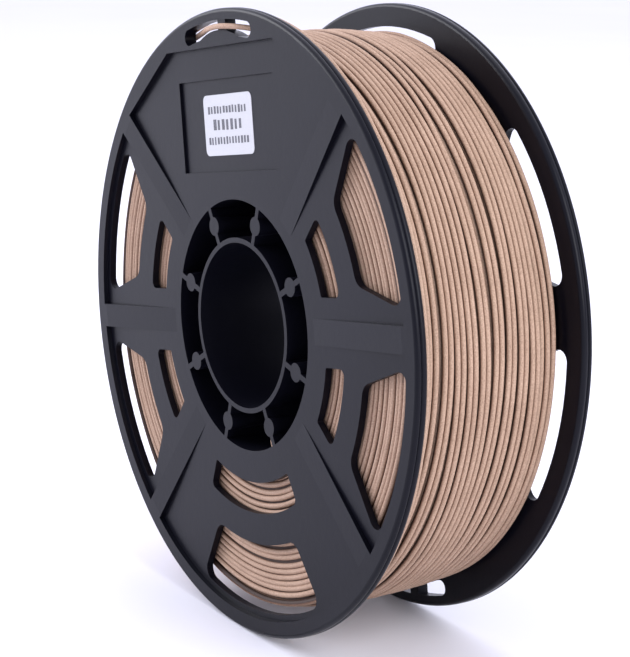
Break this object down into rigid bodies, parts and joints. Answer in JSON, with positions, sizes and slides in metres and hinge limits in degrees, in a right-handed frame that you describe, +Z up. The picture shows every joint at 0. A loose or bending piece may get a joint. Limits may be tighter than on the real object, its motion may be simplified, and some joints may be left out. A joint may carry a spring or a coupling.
{
  "type": "filament spool",
  "caption": "round flanged plastic spool with windowed flanges, hub bore, filament slot and blank label, full of wound printer filament with its free end clipped",
  "frame": {"origin": "on the spool's axis, half way between its two outer faces", "axes": "+Y along the spool's axis from the labelled face to the other one, +Z up as the spool stands on its rims, +X to the right of the labelled face"},
  "size_m": [0.2, 0.065, 0.2],
  "materials": {
    "spool_plastic": "satin moulded charcoal black",
    "filament": "matt, finely grained wood-filled tan",
    "label": "smooth white paper"
  },
  "bodies": {
    "root": {"front_half": "spool_plastic", "rear_half": "spool_plastic", "filament_winding": "filament", "filament_free_end": "filament", "filament_start_tail": "filament", "label_sticker": "label"}
  },
  "joints": []
}
